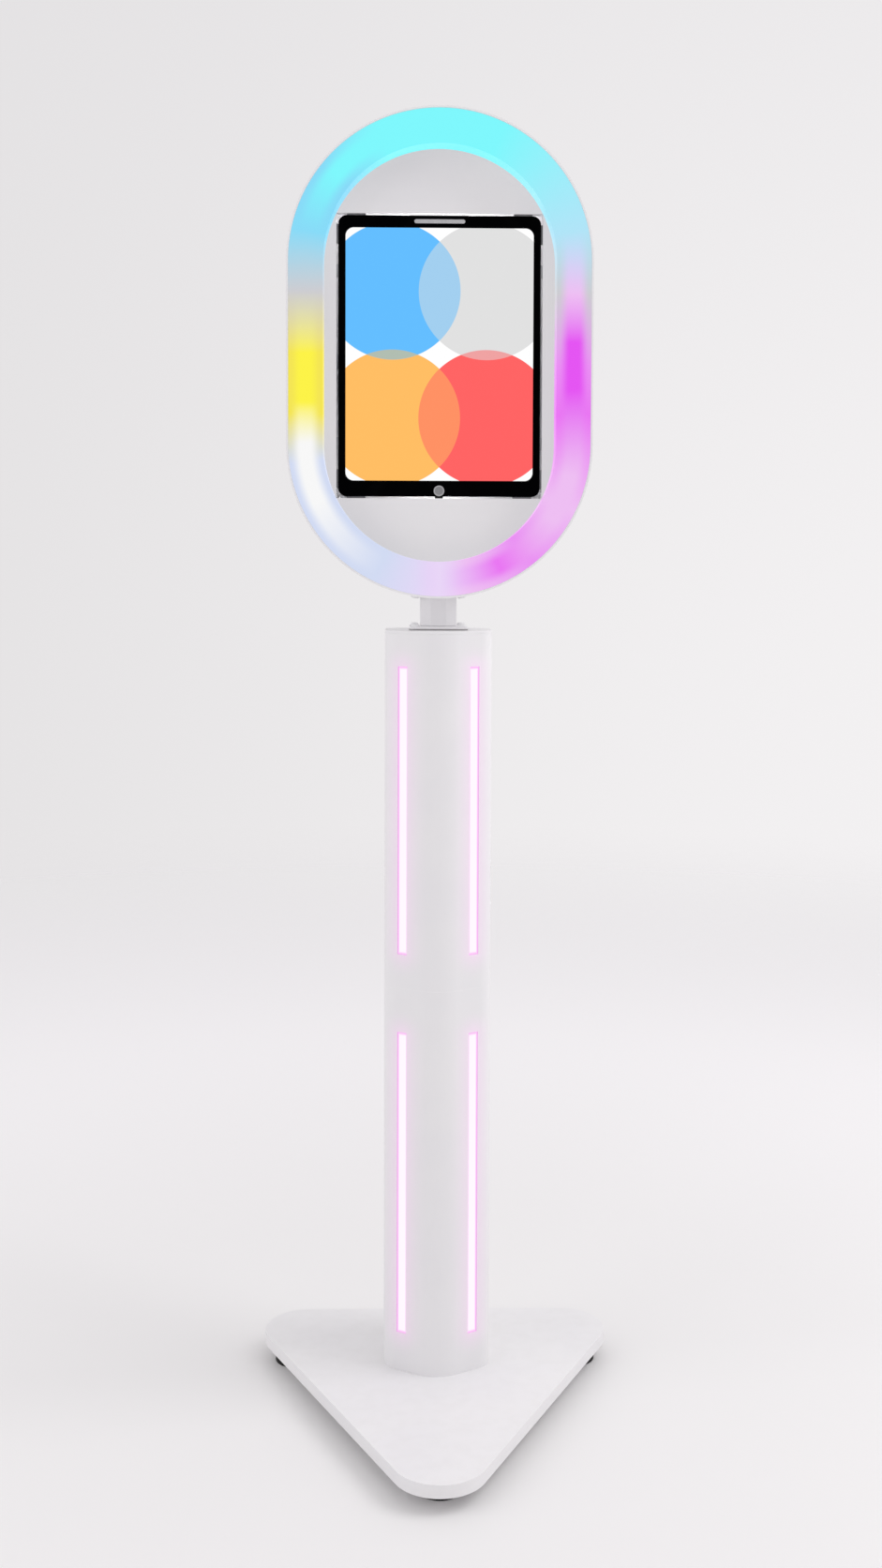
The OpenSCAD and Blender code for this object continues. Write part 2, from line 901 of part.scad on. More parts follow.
// A side key, or its pocket when grown by gap; +Z points out of the tablet's edge
module key(gap, depth) {
    translate([-key_l / 2 - gap, -key_w / 2 - gap, -depth])
        cube([key_l + 2 * gap, key_w + 2 * gap, depth + key_out]);
}

module key_pocket() {
    key(move_gap, key_in + key_travel + move_gap);
}

module tablet_body() {
    color(alloy) difference() {
        slab(body_y, tablet_back) tablet_outline();
        slab(body_y - over, body_y + display_t) translate([0, screen_up])
            square([screen_w, screen_h], center = true);
        key_on_top() key_pocket();
        key_on_side(volume_up_z) key_pocket();
        key_on_side(volume_down_z) key_pocket();
        at_button() rotate([-90, 0, 0]) cylinder(r = button_r + move_gap, h = button_t + key_travel + 1);
    }
}

module tablet_display() {
    color([0.45, 0.62, 0.85]) slab(body_y, body_y + display_t) translate([0, screen_up])
        square([screen_w, screen_h], center = true);
}

module at_button() {
    at_axis() translate([0, glass_y, head_z - tablet_h / 2 + button_up]) children();
}

module speaker_outline(gap) {
    x = (speaker_w - speaker_h) / 2;
    translate([0, tablet_h / 2 - speaker_down])
        rounded([[-x, 0], [x, 0]], speaker_h / 2 + gap);
}

module tablet_glass() {
    color(black) difference() {
        slab(glass_y, body_y) difference() {
            tablet_outline();
            speaker_outline(0.1);
        }
        at_button() rotate([-90, 0, 0]) translate([0, 0, -over])
            cylinder(r = button_r + move_gap, h = glass_t + 2 * over);
    }
}

module tablet_speaker() {
    color([0.55, 0.55, 0.56]) slab(glass_y + 0.1, body_y) speaker_outline(0);
}

module home_button() {
    color([0.55, 0.55, 0.56]) at_button() rotate([-90, 0, 0]) difference() {
        cylinder(r = button_r, h = button_t);
        translate([0, 0, -over]) cylinder(r = button_r - 1, h = over + 0.15);
    }
}

module power_key() {
    color(alloy) key_on_top() key(0, key_in);
}

module volume_up_key() {
    color(alloy) key_on_side(volume_up_z) key(0, key_in);
}

module volume_down_key() {
    color(alloy) key_on_side(volume_down_z) key(0, key_in);
}

// ---------- what holds the tablet ----------

// Runs its child once in each corner; the child is drawn for the upper right corner
module in_corners() {
    for (x = [0, 1], z = [0, 1]) mirror([x, 0]) mirror([0, z]) children();
}

// Right-angled outline round the tablet's corner, from inner to outer gap
module corner_angle(inner, outer) {
    x = tablet_w / 2;
    z = tablet_h / 2;
    difference() {
        translate([x - bracket_len, z - bracket_len])
            square([bracket_len + outer, bracket_len + outer]);
        translate([x - bracket_len - over, z - bracket_len - over])
            square([bracket_len + inner + over, bracket_len + inner + over]);
    }
}

module tablet_brackets() {
    wall = pad_soft + bracket_t;
    color(white) {
        slab(ledge_y, bracket_back) in_corners() corner_angle(pad_soft, wall);
        slab(ledge_y, ledge_y + ear_t) in_corners() corner_angle(wall - 0.5, wall + ear);
    }
}

// Foam between the tablet and its brackets and bars
module tablet_pads() {
    x = tablet_w / 2;
    z = tablet_h / 2;
    run = bracket_len - tablet_r;
    color(black) {
        slab(ledge_y + 0.5, tablet_back) in_corners() {
            translate([x - bracket_len, z]) square([run, pad_soft]);
            translate([x, z - bracket_len]) square([pad_soft, run]);
        }
        slab(tablet_back, tablet_back + pad_soft) for (z = [-1, 1])
            translate([0, z * bar_up]) square([tablet_w - 30, bar_w - 2], center = true);
    }
}

module at_posts() {
    for (x = [-1, 1], z = [-1, 1])
        at_axis() translate([x * post_x, tablet_back + pad_soft, head_z + z * bar_up])
            rotate([-90, 0, 0]) children();
}

module retainer_bars() {
    low = tablet_back + pad_soft;
    color(alloy) {
        difference() {
            slab(low, low + bar_t) for (z = [-1, 1]) translate([0, z * bar_up])
                rounded_box(tablet_w + 2 * bar_over, bar_w, 3);
            at_posts() translate([0, 0, -over]) cylinder(r = m3[0], h = bar_t + 2 * over);
        }
        difference() {
            at_posts() translate([0, 0, ledge_y - low]) cylinder(r = post_r, h = low - ledge_y);
            at_posts() translate([0, 0, -5]) cylinder(r = m3[0], h = 6);
        }
    }
}

module thumb_screws() {
    color(zinc) at_posts() translate([0, 0, bar_t]) {
        cylinder(r = thumb_r, h = thumb_h, $fn = 12);
        translate([0, 0, -bar_t - 4.5]) cylinder(r = m3[0], h = bar_t + 4.5);
    }
}

// ---------- rear door ----------

module at_hinges() {
    for (z = hinge_zs)
        at_axis() translate([hinge_x, hinge_y, head_z + z - hinge_h / 2]) children();
}

// One outer knuckle of a hinge with its foot, welded to the back of the shell
module hinge_knuckle(length) {
    foot_w = 2 * knuckle_r - 1;
    difference() {
        union() {
            cylinder(r = knuckle_r, h = length);
            translate([-foot_w / 2, back_y - hinge_y, 0]) cube([foot_w, hinge_y - back_y, length]);
        }
        translate([0, 0, -over]) cylinder(r = pin_r, h = length + 2 * over);
    }
}

// Pins and outer knuckles, which stay with the head
module hinge_pins() {
    third = hinge_h / 3;
    color(zinc) at_hinges() {
        for (z = [0, hinge_h - third]) translate([0, 0, z]) hinge_knuckle(third);
        translate([0, 0, -1]) cylinder(r = pin_r, h = hinge_h + 2);
        for (z = [-1, hinge_h]) translate([0, 0, z]) cylinder(r = pin_r + 0.8, h = 1);
    }
}

// Middle knuckle and the leaf that is screwed to the door
module hinge_leaves() {
    third = hinge_h / 3;
    leaf_y = door_back - hinge_y;
    reach = knuckle_r + 0.6;
    color(zinc) difference() {
        at_hinges() {
            translate([0, 0, third + knuckle_gap])
                cylinder(r = knuckle_r, h = third - 2 * knuckle_gap);
            translate([-leaf_w, leaf_y, third + knuckle_gap])
                cube([leaf_w, leaf_t, third - 2 * knuckle_gap]);
            translate([-leaf_w, leaf_y, 0]) cube([leaf_w - reach, leaf_t, hinge_h]);
        }
        at_hinges() translate([0, 0, -over])
            cylinder(r = pin_r + turn_gap, h = hinge_h + 2 * over);
        at_leaf_screws() translate([0, 0, -leaf_t - over])
            cylinder(r = m3[0], h = leaf_t + 2 * over);
    }
}

// Places a piece at each leaf screw, on the leaf's face, with +Z pointing back
module at_leaf_screws() {
    at_hinges() for (z = [0.2, 0.8])
        translate([-leaf_w * 0.6, door_back + leaf_t - hinge_y, z * hinge_h])
            rotate([-90, 0, 0]) children();
}

module hinge_screws() {
    color(zinc) at_leaf_screws() screw(m3, leaf_t + door_t);
}

module vent_slots(up) {
    for (i = [-3 : 3]) translate([0, up + i * 12]) rounded([[-32, 0], [32, 0]], 2.5);
}

module rear_door() {
    rib_r = opening_r - rib_gap;
    color(white) difference() {
        union() {
            slab(door_y, door_back) oval(door_r);
            slab(door_y - rib_depth, door_y + door_t / 2) oval_ring(rib_r, rib_r - rib_t);
        }
        slab(door_y - over, door_back + over) {
            vent_slots(straight / 2 + 40);
            vent_slots(-straight / 2 - 40);
            translate([lock_x, 0]) circle(lock_body_r + 0.1);
        }
        at_leaf_screws() translate([0, 0, -leaf_t - door_t - over])
            cylinder(r = m3[0], h = leaf_t + door_t + over);
    }
}

module at_lock() {
    at_axis() translate([lock_x, 0, head_z]) rotate([-90, 0, 0]) children();
}

// Lock body with its face on the door and its nut behind it
module door_lock() {
    color(zinc) difference() {
        union() {
            at_lock() translate([0, 0, door_back]) cylinder(r = lock_flange_r, h = lock_flange_t);
            at_lock() translate([0, 0, door_y - lock_nut_t])
                cylinder(r = lock_body_r, h = door_t + lock_nut_t + 0.5);
            at_lock() translate([0, 0, door_y - lock_nut_t]) linear_extrude(lock_nut_t) hexagon(24);
        }
        at_lock() translate([0, 0, tongue_y]) cylinder(r = plug_r + turn_gap, h = 20);
    }
}

// Key cylinder with the tongue on its inner end; the tongue hangs down when unlocked
module lock_cylinder() {
    face = door_back + lock_flange_t;
    color(zinc) at_lock() {
        difference() {
            translate([0, 0, tongue_y]) cylinder(r = plug_r, h = face - tongue_y);
            translate([-0.8, -3.5, face - 3]) cube([1.6, 7, 4]);
        }
        translate([-tongue_w / 2, -tongue_w / 2, tongue_y])
            cube([tongue_w, tongue_l + tongue_w / 2, tongue_t]);
        translate([0, 0, tongue_y - 2]) linear_extrude(2.5) hexagon(8);
    }
}

// ---------- the booth ----------

base_plate();
foot_inserts();
foot_lock_nuts();
foot_stud(foot_left);  // foot_stud_left
foot_stud(foot_right);  // foot_stud_right
foot_stud(foot_front);  // foot_stud_front
foot_pad(foot_left);  // foot_pad_left
foot_pad(foot_right);  // foot_pad_right
foot_pad(foot_front);  // foot_pad_front
column_foot_plate();
base_bolts();
lower_column();
upper_column();
joint_spigot();
spigot_screws();
column_cap();
slot_diffuser(-1, base_top + lower_slot_up, lower_slot_l);  // lower_left_diffuser
slot_diffuser(1, base_top + lower_slot_up, lower_slot_l);  // lower_right_diffuser
slot_diffuser(-1, joint_z + upper_slot_up, upper_slot_l);  // upper_left_diffuser
slot_diffuser(1, joint_z + upper_slot_up, upper_slot_l);  // upper_right_diffuser
light_channels();
light_strips();
inlet_plate();
inlet_plate_screws();
power_inlet();
switch_body();
switch_rocker();
power_lead();
flange_gasket();
neck_flange();
flange_screws();
neck_tube();
neck_saddle();
saddle_screws();
head_shell();
inner_panel();
panel_screws();
ring_diffuser();
ring_light_board();
ring_lights();
light_controller();
charge_lead();
tablet_body();
tablet_display();
tablet_glass();
tablet_speaker();
home_button();
power_key();
volume_up_key();
volume_down_key();
tablet_brackets();
tablet_pads();
retainer_bars();
thumb_screws();
rear_door();
hinge_pins();
hinge_leaves();
hinge_screws();
door_lock();
lock_cylinder();
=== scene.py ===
import math

import bmesh
import bpy
from mathutils import Matrix, Vector


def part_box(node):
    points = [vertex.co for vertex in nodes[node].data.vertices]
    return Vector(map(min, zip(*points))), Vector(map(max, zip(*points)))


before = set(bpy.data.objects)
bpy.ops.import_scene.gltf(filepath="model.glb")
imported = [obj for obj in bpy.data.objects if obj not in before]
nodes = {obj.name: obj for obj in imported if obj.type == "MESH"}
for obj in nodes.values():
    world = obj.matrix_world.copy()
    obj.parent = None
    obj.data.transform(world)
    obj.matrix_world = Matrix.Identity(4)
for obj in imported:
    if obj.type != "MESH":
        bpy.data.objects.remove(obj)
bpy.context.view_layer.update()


# ---------- Studio ----------
# A pale seamless floor fades into an even backdrop. One large soft light stands on the right,
# a weaker one on the left, and the camera looks at the booth from just above its middle.

def shade(red, green, blue):
    """A colour given from 0 to 255, as the light that a shader works in."""
    parts = [value / 255 for value in (red, green, blue)]
    return tuple(p / 12.92 if p <= 0.04045 else ((p + 0.055) / 1.055) ** 2.4 for p in parts) + (1,)


def feed(tree, socket, value):
    """Links a socket to another node's output, or sets it to a plain value."""
    if isinstance(value, bpy.types.NodeSocket):
        tree.links.new(value, socket)
    else:
        socket.default_value = value


def add(tree, kind, values=None, **settings):
    """Adds a shader node, with its settings and what feeds its named inputs."""
    made = tree.nodes.new("ShaderNode" + kind)
    for name, value in settings.items():
        setattr(made, name, value)
    for name, value in (values or {}).items():
        feed(tree, made.inputs[name], value)
    return made


def calc(tree, operation, *values):
    """One step of arithmetic on values or sockets."""
    made = tree.nodes.new("ShaderNodeMath")
    made.operation = operation
    for socket, value in zip(made.inputs, values):
        feed(tree, socket, value)
    return made.outputs[0]


def fade(tree, value, start, end, low=0.0, high=1.0):
    """Goes smoothly from low to high as value goes from start to end."""
    made = add(tree, "MapRange", interpolation_type="SMOOTHSTEP")
    for socket, number in zip(made.inputs, (value, start, end, low, high)):
        feed(tree, socket, number)
    return made.outputs[0]


def tint(tree, share, first, second, how="MIX"):
    """A colour that goes from first to second by share."""
    made = add(tree, "Mix", data_type="RGBA", blend_type=how)
    for index, value in zip((0, 6, 7), (share, first, second)):
        feed(tree, made.inputs[index], value)
    return made.outputs[2]


def new_material(name):
    """A material with one Principled shader. Returns the material, its tree and the shader."""
    made = bpy.data.materials.new(name)
    made.use_nodes = True
    tree = made.node_tree
    return made, tree, tree.nodes["Principled BSDF"]


def place(tree):
    """Where a point of the surface lies on the booth, in metres, and the same split into X, Y, Z."""
    where = add(tree, "TexCoord").outputs["Object"]
    return where, add(tree, "SeparateXYZ", {"Vector": where}).outputs


FLOOR_FADE = (1.6, 4.2)
FLOOR_R = 4.5

floor_sheet = bmesh.new()
bmesh.ops.create_circle(floor_sheet, cap_ends=True, radius=FLOOR_R, segments=96)
floor_mesh = bpy.data.meshes.new("studio_floor")
floor_sheet.to_mesh(floor_mesh)
floor_sheet.free()
floor = bpy.data.objects.new("studio_floor", floor_mesh)
bpy.context.collection.objects.link(floor)

paper, tree, shader = new_material("seamless_paper")
where, _ = place(tree)
reach = add(tree, "VectorMath", {0: where}, operation="LENGTH").outputs["Value"]
feed(tree, shader.inputs["Alpha"], fade(tree, reach, FLOOR_FADE[0], FLOOR_FADE[1], 1, 0))
pulp = add(tree, "TexNoise", {"Vector": where, "Scale": 3.0, "Detail": 4.0}).outputs["Fac"]
pulp = tint(tree, pulp, shade(238, 237, 237), shade(240, 239, 239))
distance = fade(tree, reach, 0.3, 1.6)
feed(tree, shader.inputs["Base Color"], tint(tree, distance, pulp, shade(252, 251, 252)))
shader.inputs["Roughness"].default_value = 0.9
shader.inputs["Specular IOR Level"].default_value = 0.2
floor_mesh.materials.append(paper)

backdrop = bpy.data.worlds.new("backdrop")
backdrop.use_nodes = True
tree = backdrop.node_tree
facing = add(tree, "SeparateXYZ", {"Vector": add(tree, "TexCoord").outputs["Generated"]}).outputs
wall = tint(tree, fade(tree, facing["X"], -0.4, 0.35), shade(228, 226, 227), shade(243, 241, 242))
wall = tint(tree, fade(tree, facing["Z"], -0.1, 0.6, 0.0, 0.6), wall, shade(226, 224, 226))
wall = tint(tree, fade(tree, facing["Y"], 0.1, -0.9), wall, shade(218, 216, 218))
feed(tree, tree.nodes["Background"].inputs["Color"], wall)
bpy.context.scene.world = backdrop
bpy.context.scene.view_settings.view_transform = "Standard"


def soft_light(name, spot, aim, size, power):
    """A large square light at spot that faces aim."""
    lamp = bpy.data.lights.new(name, "AREA")
    lamp.size = size
    lamp.energy = power
    holder = bpy.data.objects.new(name, lamp)
    holder.location = spot
    holder.rotation_euler = (Vector(aim) - Vector(spot)).to_track_quat("-Z", "Y").to_euler()
    bpy.context.collection.objects.link(holder)


soft_light("key_light", (1.7, -0.3, 2.3), (0, 0, 0.6), 1.4, 18.5)
soft_light("fill_light", (-1.9, -0.9, 1.6), (0, 0, 0.8), 1.6, 7.7)

column_low, column_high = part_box("lower_column")
axis_y = (column_low.y + column_high.y) / 2

CAMERA_SPOT = (-0.036, axis_y - 1.907, 0.941)
CAMERA_TURN, CAMERA_DIP, CAMERA_ROLL = -1.18, 2.6, 0.19

camera_lens = bpy.data.cameras.new("camera")
camera_lens.lens = 38.95
camera_lens.sensor_width = 36
camera_lens.shift_y = -0.0949
camera_lens.clip_start = 0.01
camera = bpy.data.objects.new("camera", camera_lens)
turn = Matrix.Rotation(math.radians(CAMERA_TURN), 4, "Z")
dip = Matrix.Rotation(math.radians(90 - CAMERA_DIP), 4, "X")
roll = Matrix.Rotation(math.radians(CAMERA_ROLL), 4, "Z")
camera.matrix_world = Matrix.Translation(CAMERA_SPOT) @ turn @ dip @ roll
bpy.context.collection.objects.link(camera)
bpy.context.scene.camera = camera


# ---------- Base plate ----------
# A 14 mm steel plate, laser cut to a triangle with round corners. Its edges are broken by
# grinding before it gets its white powder coat, and it stands on three feet.

def weld_group():
    """Joins the facets of a CAD mesh along their edges, and shades it smooth all over."""
    tree = bpy.data.node_groups.new("weld_facets", "GeometryNodeTree")
    tree.interface.new_socket("Geometry", in_out="INPUT", socket_type="NodeSocketGeometry")
    tree.interface.new_socket("Geometry", in_out="OUTPUT", socket_type="NodeSocketGeometry")
    start, end = tree.nodes.new("NodeGroupInput"), tree.nodes.new("NodeGroupOutput")
    merge = tree.nodes.new("GeometryNodeMergeByDistance")
    merge.inputs["Distance"].default_value = 0.000002
    smooth = tree.nodes.new("GeometryNodeSetShadeSmooth")
    tree.links.new(start.outputs[0], merge.inputs["Geometry"])
    tree.links.new(merge.outputs[0], smooth.inputs[0])
    tree.links.new(smooth.outputs[0], end.inputs[0])
    return tree


WELD = weld_group()


def dress(names, finish, edge=0.0, steps=2):
    """Gives CAD nodes their finish, and rounds their sharp edges by edge metres."""
    for name in names:
        piece = nodes[name]
        piece.material_slots[0].material = finish
        if not edge:
            continue
        weld = piece.modifiers.new("weld", "NODES")
        weld.node_group = WELD
        join = piece.modifiers.new("join_flat_facets", "DECIMATE")
        join.decimate_type = "DISSOLVE"
        join.angle_limit = math.radians(0.2)
        bevel = piece.modifiers.new("broken_edges", "BEVEL")
        bevel.width = edge
        bevel.segments = steps
        bevel.limit_method = "ANGLE"
        bevel.angle_limit = math.radians(31)
        flats = piece.modifiers.new("flat_faces", "WEIGHTED_NORMAL")
        flats.weight = 100


def new_group(name, inputs, outputs):
    """Starts a shader group. Returns it with its input sockets and the sockets to feed."""
    tree = bpy.data.node_groups.new(name, "ShaderNodeTree")
    for label, value in inputs.items():
        kind = "NodeSocketFloat" if isinstance(value, float) else "NodeSocketColor"
        tree.interface.new_socket(label, in_out="INPUT", socket_type=kind).default_value = value
    for label in outputs:
        kind = "NodeSocketColor" if label.endswith("Colour") else "NodeSocketFloat"
        tree.interface.new_socket(label, in_out="OUTPUT", socket_type=kind)
    return tree, tree.nodes.new("NodeGroupInput").outputs, tree.nodes.new("NodeGroupOutput").inputs


def use(tree, group, **values):
    """Places a group in a material with its own values, and returns its outputs."""
    made = tree.nodes.new("ShaderNodeGroup")
    made.node_tree = group
    for label, value in values.items():
        feed(tree, made.inputs[label.replace("_", " ")], value)
    return made.outputs


# Powder melts into a fine orange peel, a little uneven in tone
PEEL, got, give = new_group("orange_peel", {"Size": 900.0, "Patches": 9.0}, ["Height", "Tone"])
where, _ = place(PEEL)
peel = add(PEEL, "TexNoise", {"Vector": where, "Scale": got["Size"], "Detail": 2.0}).outputs["Fac"]
specks = add(PEEL, "TexVoronoi", {"Vector": where, "Scale": got["Size"]}).outputs["Distance"]
feed(PEEL, give["Height"], calc(PEEL, "MULTIPLY_ADD", specks, -0.25, peel))
patch = add(PEEL, "TexNoise", {"Vector": where, "Scale": got["Patches"], "Detail": 5.0}).outputs["Fac"]
feed(PEEL, give["Tone"], fade(PEEL, patch, 0.3, 0.7))

# An edge, found where the surface turns within a short distance, and rubbed unevenly
EDGE, got, give = new_group("edge_wear_and_highlight", {"Radius": 0.001, "Breaks": 160.0}, ["Edge"])
where, _ = place(EDGE)
turned = add(EDGE, "Bevel", {"Radius": got["Radius"]}, samples=4).outputs[0]
plain = add(EDGE, "NewGeometry").outputs["Normal"]
same = add(EDGE, "VectorMath", {0: turned, 1: plain}, operation="DOT_PRODUCT").outputs["Value"]
rubs = add(EDGE, "TexNoise", {"Vector": where, "Scale": got["Breaks"], "Detail": 3.0}).outputs["Fac"]
rim = fade(EDGE, same, 0.995, 0.88)
feed(EDGE, give["Edge"], calc(EDGE, "MULTIPLY", rim, fade(EDGE, rubs, 0.3, 0.75)))

# Dust that has settled on what faces up
DUST, got, give = new_group("settled_dust", {"Amount": 0.3, "Size": 60.0}, ["Dust"])
where, _ = place(DUST)
facing = add(DUST, "SeparateXYZ", {"Vector": add(DUST, "NewGeometry").outputs["Normal"]}).outputs["Z"]
cloud = add(DUST, "TexNoise", {"Vector": where, "Scale": got["Size"], "Detail": 6.0}).outputs["Fac"]
lying = calc(DUST, "MULTIPLY", fade(DUST, facing, 0.5, 1.0), fade(DUST, cloud, 0.35, 0.75))
feed(DUST, give["Dust"], calc(DUST, "MULTIPLY", lying, got["Amount"]))


def powder_coat(
    name, high=(238, 237, 238), low=(235, 234, 236), peel_size=900.0, bump=0.0001, wear_and_highlight=0.5
):
    """White powder coat, with a painted highlight along its edges. Returns the material, its tree, the
    shader and the paint's colour.
    """
    finish, tree, shader = new_material(name)
    grain = use(tree, PEEL, Size=peel_size)
    rim = use(tree, EDGE, Radius=0.0012)["Edge"]
    dust = use(tree, DUST, Amount=0.1)["Dust"]
    paint = tint(tree, grain["Tone"], shade(*low), shade(*high))
    # Painted highlight: edges are lightened towards near white, broken unevenly along them
    paint = tint(tree, calc(tree, "MULTIPLY", rim, wear_and_highlight), paint, shade(250, 250, 250))
    paint = tint(tree, dust, paint, shade(214, 212, 210))
    feed(tree, shader.inputs["Base Color"], paint)
    gloss = calc(tree, "MULTIPLY_ADD", grain["Tone"], 0.04, 0.42)
    gloss = calc(tree, "MULTIPLY_ADD", dust, 0.4, gloss)
    feed(tree, shader.inputs["Roughness"], calc(tree, "MULTIPLY_ADD", rim, -0.08, gloss))
    skin = add(tree, "Bump", {"Height": grain["Height"], "Strength": 0.35, "Distance": bump})
    feed(tree, shader.inputs["Normal"], skin.outputs[0])
    return finish, tree, shader, paint


BASE_EDGE = 0.0014
# The base gets a stronger painted highlight along its edges
base_paint, *_ = powder_coat("base_powder_coat", peel_size=800.0, wear_and_highlight=0.9)
dress(["base_plate"], base_paint, BASE_EDGE, 3)


# ---------- Feet and base hardware ----------
# Three levelling feet: a moulded rubber pad on a zinc plated stud, with a lock nut under the
# plate and a threaded insert in it. Four countersunk bolts hold the column's foot plate.

def zinc_plate(name, high=(190, 192, 196), low=(150, 152, 158), grain=600.0):
    """Bright zinc over steel, with the faint cloudy spangle of plating."""
    finish, tree, shader = new_material(name)
    skin = use(tree, PEEL, Size=grain, Patches=70.0)
    rim = use(tree, EDGE, Radius=0.0005, Breaks=400.0)["Edge"]
    metal = tint(tree, skin["Tone"], shade(*low), shade(*high))
    feed(tree, shader.inputs["Base Color"], tint(tree, rim, metal, shade(220, 221, 224)))
    feed(tree, shader.inputs["Roughness"], calc(tree, "MULTIPLY_ADD", skin["Tone"], 0.16, 0.24))
    dents = add(tree, "Bump", {"Height": skin["Height"], "Strength": 0.2, "Distance": 0.00008})
    feed(tree, shader.inputs["Normal"], dents.outputs[0])
    shader.inputs["Metallic"].default_value = 1.0
    return finish


def moulding(name, high, low, gloss=0.55, grain=1400.0, depth=0.00006):
    """Moulded rubber or plastic with a spark-eroded grain. Colours are from 0 to 255."""
    finish, tree, shader = new_material(name)
    skin = use(tree, PEEL, Size=grain, Patches=40.0)
    rim = use(tree, EDGE, Radius=0.0006, Breaks=300.0)["Edge"]
    dust = use(tree, DUST, Amount=0.3, Size=90.0)["Dust"]
    body = tint(tree, skin["Tone"], shade(*low), shade(*high))
    body = tint(tree, calc(tree, "MULTIPLY", rim, 0.35), body, shade(*[v + 40 for v in high]))
    feed(tree, shader.inputs["Base Color"], tint(tree, dust, body, shade(120, 118, 115)))
    feed(tree, shader.inputs["Roughness"], calc(tree, "MULTIPLY_ADD", skin["Tone"], 0.12, gloss))
    texture = add(tree, "Bump", {"Height": skin["Height"], "Strength": 0.5, "Distance": depth})
    feed(tree, shader.inputs["Normal"], texture.outputs[0])
    return finish


zinc = zinc_plate("zinc_plating")
rubber = moulding("foot_rubber", (34, 33, 33), (22, 22, 23), 0.7, 700.0, 0.0001)
FEET = ("left", "right", "front")
dress([f"foot_pad_{side}" for side in FEET], rubber, 0.001, 2)
dress([f"foot_stud_{side}" for side in FEET], zinc, 0.0003)
dress(["foot_lock_nuts", "foot_inserts", "base_bolts"], zinc, 0.0003)
dress(["column_foot_plate"], zinc_plate("foot_plate_zinc", (170, 172, 178), (140, 142, 150), 300.0))


# ---------- Column ----------
# Two sections of folded and welded 2.5 mm sheet steel, six-sided with round corners, stand end
# to end on a spigot. A thin cap closes the top. Pink light from each slot is painted on the paint beside
# it.

# How strongly a slot's light is painted on the paint round it; the slot is an upright line on the face
SPILL, got, give = new_group(
    "light_spill", {"Side": 0.04, "Front": 0.04, "Middle": 0.3, "Half": 0.17, "Reach": 0.03}, ["Spill"]
)
_, along = place(SPILL)
aside = calc(SPILL, "SUBTRACT", calc(SPILL, "ABSOLUTE", along["X"]), got["Side"])
ahead = calc(SPILL, "SUBTRACT", along["Y"], got["Front"])
past = calc(SPILL, "SUBTRACT", calc(SPILL, "ABSOLUTE", calc(SPILL, "SUBTRACT", along["Z"], got["Middle"])),
            got["Half"])
away = add(SPILL, "CombineXYZ", {"X": aside, "Y": ahead, "Z": calc(SPILL, "MAXIMUM", past, 0.0)})
far = add(SPILL, "VectorMath", {0: away.outputs[0]}, operation="LENGTH").outputs["Value"]
near = calc(SPILL, "SUBTRACT", 1.0, calc(SPILL, "DIVIDE", far, got["Reach"]))
near = calc(SPILL, "MAXIMUM", near, 0.0)
feed(SPILL, give["Spill"], calc(SPILL, "POWER", near, 2.5))

SLOT_HALF_W = 0.006
SPILL_REACH = 0.036
column_paint, tree, shader, paint = powder_coat("column_powder_coat")
spills = []
for level in ("lower", "upper"):
    low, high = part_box(f"{level}_right_diffuser")
    middle = (low + high) / 2
    spills.append(use(
        tree, SPILL, Side=middle.x, Front=middle.y, Middle=middle.z,
        Half=(high.z - low.z) / 2 - SLOT_HALF_W, Reach=SPILL_REACH,
    )["Spill"])
spill = calc(tree, "MAXIMUM", *spills)
# Painted light: beside each slot the paint's colour is tinted pink and given a pink glow
feed(tree, shader.inputs["Base Color"], tint(tree, spill, paint, shade(240, 226, 239)))
feed(tree, shader.inputs["Emission Color"], tint(tree, spill, (0, 0, 0, 1), shade(100, 46, 95)))
shader.inputs["Emission Strength"].default_value = 1.0
dress(["lower_column", "upper_column"], column_paint, 0.0006)
dress(["column_cap"], column_paint, 0.001, 3)
dress(["joint_spigot"], zinc)
dress(["spigot_screws"], zinc, 0.0001)


# ---------- Column lights ----------
# Opal acrylic bars fill the four slots from inside. Each is lit from behind by a strip of
# lamps in an aluminium channel, so it is white along its middle and magenta at its edges.

FACE_TURN = math.radians(30)

pink_opal, tree, shader = new_material("pink_opal_acrylic")
_, along = place(tree)
ahead = calc(tree, "SUBTRACT", along["Y"], axis_y)
across = calc(tree, "MULTIPLY", calc(tree, "ABSOLUTE", along["X"]), math.cos(FACE_TURN))
across = calc(tree, "MULTIPLY_ADD", ahead, math.sin(FACE_TURN), across)
SLOT_SHIFT = 0.0115
BAR_LIP = 0.0024
OUTER_RIM = (0.003, 0.0056)
INNER_RIM = (-0.0044, -0.006)
outward = calc(tree, "SUBTRACT", across, SLOT_SHIFT)
inward = fade(tree, outward, *INNER_RIM, 0.0, 0.7)
rim = calc(tree, "MAXIMUM", fade(tree, outward, *OUTER_RIM), inward)
ends = []
for level in ("lower", "upper"):
    low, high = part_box(f"{level}_right_diffuser")
    height = calc(tree, "ABSOLUTE", calc(tree, "SUBTRACT", along["Z"], (low.z + high.z) / 2))
    reach = (high.z - low.z) / 2 - BAR_LIP
    inside = fade(tree, height, reach - 0.004, reach - 0.0005)
    ends.append(calc(tree, "MULTIPLY", inside, calc(tree, "LESS_THAN", height, reach + 0.01)))
rim = calc(tree, "MAXIMUM", rim, calc(tree, "MULTIPLY", calc(tree, "MAXIMUM", *ends), 0.8))
grain = use(tree, PEEL, Size=500.0, Patches=30.0)
